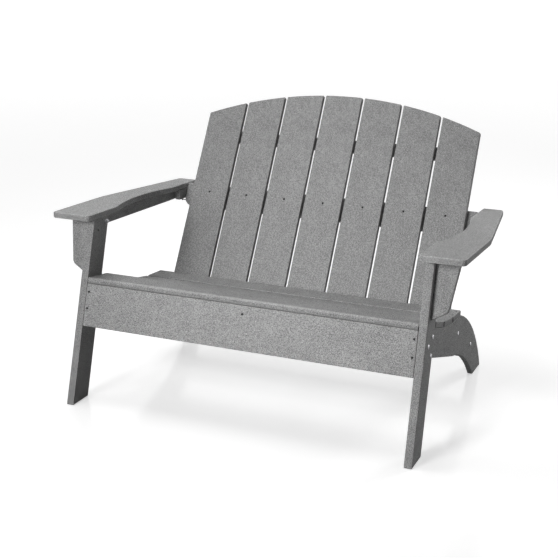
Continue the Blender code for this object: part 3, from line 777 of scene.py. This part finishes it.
def object_vector(tree, centre, along):
    """Object coordinates, centred on a piece and turned so that X runs along it."""
    coordinates = tree.nodes.new("ShaderNodeTexCoord")
    mapping = tree.nodes.new("ShaderNodeMapping")
    mapping.vector_type = "TEXTURE"
    mapping.inputs["Location"].default_value = centre
    mapping.inputs["Rotation"].default_value = along.to_track_quat("X", "Z").to_euler()
    tree.links.new(coordinates.outputs["Object"], mapping.inputs["Vector"])
    return mapping.outputs["Vector"]


def add_bump(tree, height, shader, distance):
    bump = tree.nodes.new("ShaderNodeBump")
    bump.inputs["Strength"].default_value = 1
    bump.inputs["Distance"].default_value = distance
    tree.links.new(height, bump.inputs["Height"])
    tree.links.new(bump.outputs["Normal"], shader["Normal"])


def board_material(name, finish, along, across):
    """Plastic lumber for one board; along and across are its length's and its thickness's directions."""
    material, tree, shader = new_material("plastic_lumber_" + name)
    low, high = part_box(name)
    # Lighter rounded edges: partly worn, partly a painted highlight, made stronger on the listed boards as a
    # painted highlight
    edge_highlight_share = HIGHLIT_EDGE_SHARE if name in HIGHLIT_EDGE_BOARDS else 1
    edge = place_group(tree, edge_group(), {"Across": across, "Lift": finish.edge_worn_and_highlit * edge_highlight_share})
    pattern = place_group(
        tree,
        plastic_group(),
        {
            "Colour": (*finish.colour, 1),
            # the board's tone is painted light and shade
            "Tone": BOARD_LIGHT_AND_SHADE_TONES.get(name, 1),
            "Grain Size": finish.grain_size,
            "Grain Contrast": finish.grain_contrast,
            "Cloud Size": finish.cloud_size,
            "Cloud Contrast": finish.cloud_contrast,
            "Streak Length": finish.streak_length,
            "Streak Width": finish.streak_width,
            "Streak Contrast": finish.streak_contrast,
            "Roughness": finish.roughness,
        },
    )
    tree.links.new(object_vector(tree, (low + high) / 2, along), pattern.inputs["Vector"])
    tree.links.new(edge.outputs["Mask"], pattern.inputs["Edge"])
    tree.links.new(pattern.outputs["Colour"], shader["Base Color"])
    tree.links.new(pattern.outputs["Roughness"], shader["Roughness"])
    shader["Specular IOR Level"].default_value = BOARD_SPECULAR
    add_bump(tree, pattern.outputs["Height"], shader, finish.grain_depth)
    return material


def steel_material(name, colour, roughness, finish):
    material, tree, shader = new_material(name)
    marks = place_group(
        tree,
        steel_group(),
        {"Colour": (*colour, 1), "Roughness": roughness, "Mark Size": finish.mark_size},
    )
    tree.links.new(object_vector(tree, Vector((0, 0, 0)), ALONG_SEAT), marks.inputs["Vector"])
    tree.links.new(marks.outputs["Colour"], shader["Base Color"])
    tree.links.new(marks.outputs["Roughness"], shader["Roughness"])
    shader["Metallic"].default_value = 1
    add_bump(tree, marks.outputs["Height"], shader, finish.mark_depth)
    return material


# Boards


def smoothing_group():
    """Modifier group that joins the frame's loose triangles and shades the rounded edges smooth."""
    name = "smooth_rounded_edges"
    if name in bpy.data.node_groups:
        return bpy.data.node_groups[name]
    group = bpy.data.node_groups.new(name, "GeometryNodeTree")
    group.interface.new_socket("Geometry", in_out="INPUT", socket_type="NodeSocketGeometry")
    group.interface.new_socket("Geometry", in_out="OUTPUT", socket_type="NodeSocketGeometry")
    given = group.nodes.new("NodeGroupInput")
    result = group.nodes.new("NodeGroupOutput")
    merge = group.nodes.new("GeometryNodeMergeByDistance")
    merge.inputs["Distance"].default_value = MERGE_DISTANCE
    smooth = group.nodes.new("GeometryNodeSetShadeSmooth")
    sharp = group.nodes.new("GeometryNodeSetShadeSmooth")
    sharp.domain = "EDGE"
    sharp.inputs["Shade Smooth"].default_value = False
    angle = group.nodes.new("GeometryNodeInputMeshEdgeAngle")
    steep = group.nodes.new("FunctionNodeCompare")
    steep.data_type = "FLOAT"
    steep.operation = "GREATER_THAN"
    steep.inputs["B"].default_value = BOARD_EDGE_ANGLE
    group.links.new(given.outputs[0], merge.inputs["Geometry"])
    group.links.new(merge.outputs[0], smooth.inputs["Geometry"])
    group.links.new(smooth.outputs[0], sharp.inputs["Geometry"])
    group.links.new(angle.outputs["Unsigned Angle"], steep.inputs["A"])
    group.links.new(steep.outputs[0], sharp.inputs["Selection"])
    group.links.new(sharp.outputs[0], result.inputs[0])
    return group


def finish_board(context, name, along, across):
    """Gives a board of the frame its material and smooth rounded edges."""
    board = node_object(name)
    material = board_material(name, context.scene.loveseat.boards, along, across)
    if not board.material_slots:
        board.data.materials.append(material)
    for slot in board.material_slots:
        slot.material = material
    smoothing = board.modifiers.new("smooth_edges", "NODES")
    smoothing.node_group = smoothing_group()
    weighting = board.modifiers.new("flat_faces", "WEIGHTED_NORMAL")
    weighting.keep_sharp = True


class LOVESEAT_OT_seat_boards(bpy.types.Operator):
    """Finish the seat's slats, the apron and the stringers that carry them"""

    bl_idname = "loveseat.seat_boards"
    bl_label = "Seat boards"

    def execute(self, context):
        for name, fall in SLAT_FALLS.items():
            finish_board(context, name, ALONG_SEAT, upright(fall))
        finish_board(context, "front_apron", ALONG_SEAT, level(LEG_LEAN))
        for name in ("side_stringer_left", "side_stringer_right", "centre_stringer"):
            finish_board(context, name, level(STRINGER_FALL), ALONG_SEAT)
        return {"FINISHED"}


class LOVESEAT_OT_back_boards(bpy.types.Operator):
    """Finish the back's slats and the rails behind and under them"""

    bl_idname = "loveseat.back_boards"
    bl_label = "Back boards"

    def execute(self, context):
        for name in BACK_SLATS:
            finish_board(context, name, upright(BACK_RECLINE), level(BACK_RECLINE))
        for name in ("upper_back_rail", "mid_back_rail", "lower_back_rail"):
            finish_board(context, name, ALONG_SEAT, level(BACK_RECLINE))
        finish_board(context, "rear_stretcher", ALONG_SEAT, level(0))
        return {"FINISHED"}


class LOVESEAT_OT_side_boards(bpy.types.Operator):
    """Finish the front legs, corbels, arms and what carries the arms"""

    bl_idname = "loveseat.side_boards"
    bl_label = "Side boards"

    def execute(self, context):
        for side in SIDES:
            finish_board(context, "front_leg_" + side, upright(LEG_LEAN), ALONG_SEAT)
            finish_board(context, "corbel_" + side, upright(LEG_LEAN), level(LEG_LEAN))
            finish_board(context, "arm_" + side, level(ARM_FALL), upright(ARM_FALL))
            finish_board(context, "arm_rail_" + side, level(ARM_FALL), ALONG_SEAT)
            finish_board(context, "arm_block_" + side, level(ARM_FALL), ALONG_SEAT)
        return {"FINISHED"}


# Screws, bolts, washers and nuts


def add_piece(context, name, bm, material):
    """New steel piece from a bmesh whose place is already in it."""
    bmesh.ops.recalc_face_normals(bm, faces=bm.faces)
    mesh = bpy.data.meshes.new(name)
    bm.to_mesh(mesh)
    bm.free()
    mesh.materials.append(material)
    mesh.shade_smooth()
    mesh.set_sharp_from_angle(angle=STEEL_EDGE_ANGLE)
    piece = bpy.data.objects.new(name, mesh)
    context.scene.collection.objects.link(piece)
    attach(piece, "root")
    return piece


def fastener_place(name, side):
    """Matrix that stands a fastener on the node's inner end, its Z out of the bench, and the node's size."""
    low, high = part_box(name)
    sign = SIDES[side]
    middle = (low + high) / 2
    inner = Vector((low.x if sign > 0 else high.x, middle.y, middle.z))
    turn = Matrix.Rotation(sign * math.pi / 2, 4, "Y")
    return Matrix.Translation(inner) @ turn, high - low


def bolt_profile(length, head_radius, pitch):
    """Domed head, plain shank and thread ridges near the end, as (radius, height) from the top down."""
    head_height = head_radius * HEAD_HEIGHT_SHARE
    rim = head_radius * HEAD_RIM_SHARE
    shank = head_radius * SHANK_SHARE
    root = shank * ROOT_SHARE
    profile = []
    for step in range(DOME_STEPS + 1):
        angle = math.pi / 2 * step / DOME_STEPS
        profile.append((head_radius * math.sin(angle), rim + (head_height - rim) * math.cos(angle)))
    profile += [(head_radius * HEAD_FOOT_SHARE, 0), (shank, 0)]
    drop = length - head_height
    ridges = int(drop * THREADED_SHARE / pitch)
    start = drop - (ridges + 1) * pitch
    profile.append((shank, -start))
    for step in range(ridges):
        profile.append((root, -start - pitch * (step + 0.5)))
        profile.append((shank, -start - pitch * (step + 1)))
    profile += [(shank * BOLT_TIP_SHARE, -drop), (0, -drop)]
    return [(across, height + drop) for across, height in profile]


def spun(profile, steps, place):
    """Body turned round local Z from (radius, height) points, put in place."""
    bm = bmesh.new()
    points = [bm.verts.new((radius, 0, height)) for radius, height in profile]
    edges = [bm.edges.new(pair) for pair in zip(points, points[1:])]
    bmesh.ops.spin(
        bm,
        geom=points + edges,
        cent=(0, 0, 0),
        axis=(0, 0, 1),
        angle=2 * math.pi,
        steps=steps,
        use_merge=True,
    )
    bmesh.ops.remove_doubles(bm, verts=bm.verts, dist=MERGE_DISTANCE)
    bmesh.ops.transform(bm, matrix=place, verts=bm.verts)
    return bm


def add_bolt(context, name, side, material):
    """Domed bolt in place of the frame's, with a finer head and thread ridges; gives its shank's radius."""
    place, size = fastener_place(name, side)
    head_radius = size.z / 2 / math.cos(math.pi / PLAIN_HEAD_CORNERS)
    profile = bolt_profile(size.x, head_radius, context.scene.loveseat.fasteners.thread_pitch)
    piece = add_piece(context, name + "_domed", spun(profile, SCREW_STEPS, place), material)
    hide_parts(name)
    return head_radius * SHANK_SHARE


def cornered_ring(corners, outer, hole, height):
    """Ring on Z = 0 whose corners are at the outer radius, with bevelled rims."""
    bm = bmesh.new()
    outside = bmesh.ops.create_circle(bm, segments=ROUND_STEPS, radius=outer)["verts"]
    between = 2 * math.pi / corners
    flat = outer * math.cos(between / 2)
    for vertex in outside:
        past = math.atan2(vertex.co.y, vertex.co.x) % between - between / 2
        vertex.co = vertex.co.normalized() * flat / math.cos(past)
    inside = bmesh.ops.create_circle(bm, segments=ROUND_STEPS, radius=hole)["verts"]
    edges = {edge for vertex in outside + inside for edge in vertex.link_edges}
    faces = bmesh.ops.bridge_loops(bm, edges=list(edges))["faces"]
    raised = bmesh.ops.extrude_face_region(bm, geom=faces)["geom"]
    top = [item for item in raised if isinstance(item, bmesh.types.BMVert)]
    bmesh.ops.translate(bm, vec=(0, 0, height), verts=top)
    chamfer = height * CHAMFER_SHARE
    rims = []
    for edge in bm.edges:
        is_level = abs(edge.verts[0].co.z - edge.verts[1].co.z) < chamfer
        if is_level and edge.calc_face_angle(0) > STEEL_EDGE_ANGLE:
            rims.append(edge)
    bmesh.ops.bevel(bm, geom=rims, offset=chamfer, segments=2, profile=0.5, affect="EDGES", material=-1)
    for vertex in bm.verts:
        past_flat = math.hypot(vertex.co.x, vertex.co.y) - flat - chamfer
        if past_flat > 0:
            fall = past_flat * math.tan(NUT_SLOPE)
            vertex.co.z += -fall if vertex.co.z > height / 2 else fall
    return bm


def add_ring(context, name, side, corners, shank, material):
    """Washer or nut in place of the frame's; two of a nut's corners point to the front and the rear."""
    place, size = fastener_place(name, side)
    hole = shank + context.scene.loveseat.fasteners.bolt_clearance
    bm = cornered_ring(corners, size.y / 2, hole, size.x)
    quarter_turn = Matrix.Rotation(math.pi / 2, 4, "Z")
    bmesh.ops.transform(bm, matrix=place @ quarter_turn, verts=bm.verts)
    piece = add_piece(context, name + "_chamfered", bm, material)
    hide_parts(name)


class LOVESEAT_OT_bolts(bpy.types.Operator):
    """Put finer bolts, washers and nuts where the frame has its plain ones"""

    bl_idname = "loveseat.bolts"
    bl_label = "Bolts, washers and nuts"

    def execute(self, context):
        steel = context.scene.loveseat.steel
        material = steel_material("bolt_steel", steel.bolt_colour, steel.bolt_roughness, steel)
        for side in SIDES:
            kinds = [("leg_bolt", f"{side}_{number}") for number in (1, 2, 3)]
            kinds.append(("arm_rail_bolt", side))
            for kind, place in kinds:
                shank = add_bolt(context, f"{kind}_{place}", side, material)
                add_ring(context, f"{kind}_washer_{place}", side, ROUND_STEPS, shank, material)
                add_ring(context, f"{kind}_nut_{place}", side, NUT_CORNERS, shank, material)
            add_bolt(context, "lower_back_rail_bolt_" + side, side, material)
            add_bolt(context, "rear_stretcher_bolt_" + side, side, material)
        return {"FINISHED"}


def add_screw(bm, sizes, length, point, out):
    """Countersunk screw with a six-lobed socket, sunk below the face at the point."""
    known = set(bm.verts)
    radius = sizes.screw_head_radius
    rim = bmesh.ops.create_circle(bm, cap_ends=True, segments=SCREW_STEPS, radius=radius)["verts"]
    cap = rim[0].link_faces[0]
    outline = list(cap.edges)
    bmesh.ops.inset_region(bm, faces=[cap], thickness=radius - sizes.socket_radius, use_even_offset=True)
    for vertex in cap.verts:
        vertex.co *= 1 + LOBE_SHARE * math.cos(LOBES * math.atan2(vertex.co.y, vertex.co.x))
    pit = bmesh.ops.extrude_discrete_faces(bm, faces=[cap])["faces"]
    bmesh.ops.translate(bm, vec=(0, 0, -sizes.socket_depth), verts=pit[0].verts)
    end = sizes.screw_sink - length + sizes.hole_end_gap
    for radius, height in (
        (sizes.screw_shank_radius, -sizes.screw_head_depth),
        (sizes.screw_shank_radius, end + sizes.screw_tip),
        (sizes.screw_shank_radius * SCREW_TIP_SHARE, end),
    ):
        grown = bmesh.ops.extrude_edge_only(bm, edges=outline)["geom"]
        ring = [item for item in grown if isinstance(item, bmesh.types.BMVert)]
        outline = [item for item in grown if isinstance(item, bmesh.types.BMEdge) and item.is_boundary]
        for vertex in ring:
            vertex.co = Vector((*(vertex.co.xy.normalized() * radius), height))
    bmesh.ops.contextual_create(bm, geom=outline)
    turn = out.to_track_quat("Z", "Y").to_matrix().to_4x4()
    place = Matrix.Translation(point - out * sizes.screw_sink) @ turn
    bmesh.ops.transform(bm, matrix=place, verts=[vertex for vertex in bm.verts if vertex not in known])


def apron_screw_spots():
    """Two screws into each side stringer's front end and one into the centre stringer's."""
    turn, low, high = turned_box("front_apron", LEG_LEAN)
    top = high.z - APRON_SCREW_TOP
    spots = [(0, top)]
    for side in SIDES:
        inner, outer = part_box("side_stringer_" + side)
        for rise in (top, top - APRON_SCREW_PITCH):
            spots.append(((inner.x + outer.x) / 2, rise))
    return [(turn @ Vector((x, low.y, z)), -level(LEG_LEAN)) for x, z in spots]


def seat_screw_spots():
    """Screws down through the slats into the three stringers."""
    supports = {}
    for name in ("side_stringer_left", "centre_stringer", "side_stringer_right"):
        low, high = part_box(name)
        supports[name] = (low.x + high.x) / 2
    boxes = {name: turned_box(name, fall) for name, fall in SLAT_FALLS.items()}
    widths = {name: high.y - low.y for name, (turn, low, high) in boxes.items()}
    narrowest = min(widths, key=widths.get)
    spots = []
    for name, (turn, low, high) in boxes.items():
        for support, x in supports.items():
            single = name == narrowest or support == "centre_stringer"
            for share in NARROW_SLAT_SCREW_SHARES if single else WIDE_SLAT_SCREW_SHARES:
                along = low.y + widths[name] * share
                spots.append((turn @ Vector((x, along, high.z)), upright(SLAT_FALLS[name])))
    return spots


def back_screw_spots(rail, front, lift):
    """One screw in the middle of each back slat at a rail's height, from the front or from behind."""
    turn, rail_low, rail_high = turned_box(rail, BACK_RECLINE)
    rise = (rail_low.z + rail_high.z) / 2 + lift
    spots = []
    for name in BACK_SLATS:
        turn, low, high = turned_box(name, BACK_RECLINE)
        face = low.y if front else max(high.y, rail_high.y)
        out = -level(BACK_RECLINE) if front else level(BACK_RECLINE)
        spots.append((turn @ Vector(((low.x + high.x) / 2, face, rise)), out))
    return spots


def centre_screw_spots():
    """Two screws through the lower rail into the centre stringer's end, from behind."""
    turn, low, high = turned_box("lower_back_rail", BACK_RECLINE)
    middle = (low.z + high.z) / 2
    rises = (middle - RAIL_SCREW_SPREAD, middle + RAIL_SCREW_SPREAD)
    return [(turn @ Vector((0, high.y, rise)), level(BACK_RECLINE)) for rise in rises]


def under_arm_screw_spots(board, shares):
    """Screws up into both arms through the boards under them, at shares of the boards' length."""
    spots = []
    for side in SIDES:
        turn, low, high = turned_box(board + side, ARM_FALL)
        for share in shares:
            along = low.y + (high.y - low.y) * share
            spots.append((turn @ Vector(((low.x + high.x) / 2, along, low.z)), -upright(ARM_FALL)))
    return spots


def mid_rail_screw_spots():
    """Screws from the arm blocks' outer faces into the mid rail's ends."""
    turn, low, high = turned_box("mid_back_rail", BACK_RECLINE)
    middle = turn @ Vector((0, (low.y + high.y) / 2, low.z + (high.z - low.z) * MID_RAIL_SCREW_SHARE))
    spots = []
    for side, sign in SIDES.items():
        block_low, block_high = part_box("arm_block_" + side)
        face = block_high.x if sign > 0 else block_low.x
        spots.append((Vector((face, middle.y, middle.z)), ALONG_SEAT * sign))
    return spots


def corbel_screw_spots():
    """Screws from the legs' inner faces into the corbels."""
    spots = []
    for side, sign in SIDES.items():
        turn, low, high = turned_box("corbel_" + side, LEG_LEAN)
        leg_low, leg_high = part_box("front_leg_" + side)
        face = leg_low.x if sign > 0 else leg_high.x
        spot = turn @ Vector((0, (low.y + high.y) / 2, high.z - CORBEL_SCREW_DROP))
        spots.append((Vector((face, spot.y, spot.z)), ALONG_SEAT * -sign))
    return spots


class LOVESEAT_OT_screws(bpy.types.Operator):
    """Set the countersunk screws in the boards' holes, one piece for each row"""

    bl_idname = "loveseat.screws"
    bl_label = "Screws"

    def execute(self, context):
        steel = context.scene.loveseat.steel
        material = steel_material("screw_steel", steel.screw_colour, steel.screw_roughness, steel)
        rows = {
            "apron_screws": apron_screw_spots(),
            "seat_screws": seat_screw_spots(),
            "back_screws_mid": back_screw_spots("mid_back_rail", True, MID_SCREW_LIFT),
            "back_screws_upper": back_screw_spots("upper_back_rail", False, 0),
            "back_screws_lower": back_screw_spots("lower_back_rail", False, 0),
            "centre_stringer_screws": centre_screw_spots(),
            "arm_rail_screws": under_arm_screw_spots("arm_rail_", ARM_SCREW_SHARES),
            "arm_block_screws": under_arm_screw_spots("arm_block_", (BLOCK_SCREW_SHARE,)),
            "mid_rail_screws": mid_rail_screw_spots(),
            "corbel_screws": corbel_screw_spots(),
        }
        for name, spots in rows.items():
            bm = bmesh.new()
            for point, out in spots:
                add_screw(bm, context.scene.loveseat.fasteners, SCREW_LENGTHS[name], point, out)
            add_piece(context, name, bm, material)
        return {"FINISHED"}


# Studio


def floor_material(studio):
    """Pale glossy floor whose unshaded parts are white to the camera and which keeps the shadows."""
    material, tree, shader = new_material("studio_floor")
    haze = tree.nodes.new("ShaderNodeTexNoise")
    haze.inputs["Scale"].default_value = 1 / FLOOR_HAZE_SIZE
    coordinates = tree.nodes.new("ShaderNodeTexCoord")
    tree.links.new(coordinates.outputs["Object"], haze.inputs["Vector"])
    unevenness = swing(tree, haze.outputs["Fac"], FLOOR_ROUGHNESS_SWING)
    tree.links.new(maths(tree, "ADD", studio.floor_roughness, unevenness), shader["Roughness"])
    shader["Emission Color"].default_value = (1, 1, 1, 1)
    camera_ray = tree.nodes.new("ShaderNodeLightPath").outputs["Is Camera Ray"]
    shade = tree.nodes.new("ShaderNodeMix")
    shade.data_type = "RGBA"
    tree.links.new(camera_ray, shade.inputs[MIX_FACTOR])
    shade.inputs[MIX_FIRST_COLOUR].default_value = (*studio.floor_bounce, 1)
    shade.inputs[MIX_SECOND_COLOUR].default_value = (*studio.floor_colour, 1)
    tree.links.new(shade.outputs[MIX_RESULT], shader["Base Color"])
    tree.links.new(maths(tree, "MULTIPLY", camera_ray, studio.floor_glow), shader["Emission Strength"])
    return material


def add_floor(context):
    studio = context.scene.loveseat.studio
    bm = bmesh.new()
    bmesh.ops.create_grid(bm, x_segments=FLOOR_SQUARES, y_segments=FLOOR_SQUARES, size=studio.floor_reach)
    bmesh.ops.translate(bm, vec=(0, 0, -studio.floor_drop), verts=bm.verts)
    mesh = bpy.data.meshes.new("studio_floor")
    bm.to_mesh(mesh)
    bm.free()
    mesh.materials.append(floor_material(studio))
    floor = bpy.data.objects.new("studio_floor", mesh)
    context.scene.collection.objects.link(floor)


def add_sky(context):
    """Even light from all round, which the camera and reflections see as white."""
    world = bpy.data.worlds.new("studio_sky")
    context.scene.world = world
    world.use_nodes = True
    tree = world.node_tree
    background = tree.nodes["Background"]
    background.inputs["Color"].default_value = (1, 1, 1, 1)
    path = tree.nodes.new("ShaderNodeLightPath")
    seen = maths(tree, "MAXIMUM", path.outputs["Is Camera Ray"], path.outputs["Is Glossy Ray"])
    seen = maths(tree, "MAXIMUM", seen, path.outputs["Is Transmission Ray"])
    low = context.scene.loveseat.studio.sky_strength
    strength = maths(tree, "ADD", maths(tree, "MULTIPLY", seen, 1 - low), low)
    tree.links.new(strength, background.inputs["Strength"])


def add_lamp(context, name):
    """Square lamp that faces the bench, with the settings of that name."""
    studio = context.scene.loveseat.studio
    lamp = bpy.data.lights.new(name + "_lamp", "AREA")
    lamp.size = getattr(studio, name + "_size")
    lamp.energy = getattr(studio, name + "_power")
    lamp.spread = getattr(studio, name + "_spread")
    item = bpy.data.objects.new(name + "_lamp", lamp)
    context.scene.collection.objects.link(item)
    item.location = getattr(studio, name + "_place")
    aim = Vector(studio.aim)
    item.rotation_euler = (aim - item.location).to_track_quat("-Z", "Y").to_euler()


def add_camera(context):
    studio = context.scene.loveseat.studio
    camera = bpy.data.cameras.new("photo_camera")
    camera.sensor_width = studio.sensor_width
    camera.lens = studio.focal_length
    camera.shift_x = studio.lens_slide
    camera.shift_y = studio.lens_rise
    item = bpy.data.objects.new("photo_camera", camera)
    context.scene.collection.objects.link(item)
    turn = Matrix.Rotation(studio.camera_yaw, 4, "Z")
    turn = turn @ Matrix.Rotation(math.pi / 2 - studio.camera_pitch, 4, "X")
    turn = turn @ Matrix.Rotation(studio.camera_roll, 4, "Z")
    item.matrix_world = Matrix.Translation(studio.camera_place) @ turn
    context.scene.camera = item


class LOVESEAT_OT_studio(bpy.types.Operator):
    """Set up the camera, the floor, the even sky and the lamps"""

    bl_idname = "loveseat.studio"
    bl_label = "Studio"

    def execute(self, context):
        studio = context.scene.loveseat.studio
        context.scene.view_settings.view_transform = "Standard"
        add_camera(context)
        add_floor(context)
        add_sky(context)
        for name in LAMPS:
            add_lamp(context, name)
        return {"FINISHED"}


class LOVESEAT_PT_panel(bpy.types.Panel):
    """Lists the loveseat's steps and settings"""

    bl_idname = "LOVESEAT_PT_panel"
    bl_label = "Adirondack loveseat"
    bl_space_type = "VIEW_3D"
    bl_region_type = "UI"
    bl_category = "Loveseat"

    def draw(self, context):
        settings = context.scene.loveseat
        for step in STEPS:
            self.layout.operator(step.bl_idname)
        for group in (settings.boards, settings.steel, settings.fasteners, settings.studio):
            section = self.layout.box()
            for name in group.__annotations__:
                section.prop(group, name)


STEPS = (
    LOVESEAT_OT_seat_boards,
    LOVESEAT_OT_back_boards,
    LOVESEAT_OT_side_boards,
    LOVESEAT_OT_bolts,
    LOVESEAT_OT_screws,
    LOVESEAT_OT_studio,
)
CLASSES = (
    BoardFinish,
    SteelFinish,
    FastenerSizes,
    StudioSettings,
    LoveseatSettings,
    *STEPS,
    LOVESEAT_PT_panel,
)


def register():
    for item in CLASSES:
        bpy.utils.register_class(item)
    bpy.types.Scene.loveseat = bpy.props.PointerProperty(
        name="Loveseat", description="Settings of the loveseat", type=LoveseatSettings
    )


def unregister():
    del bpy.types.Scene.loveseat
    for item in reversed(CLASSES):
        bpy.utils.unregister_class(item)


def main():
    register()
    bpy.ops.loveseat.seat_boards()
    bpy.ops.loveseat.back_boards()
    bpy.ops.loveseat.side_boards()
    bpy.ops.loveseat.bolts()
    bpy.ops.loveseat.screws()
    bpy.ops.loveseat.studio()


if __name__ == "__main__":
    main()
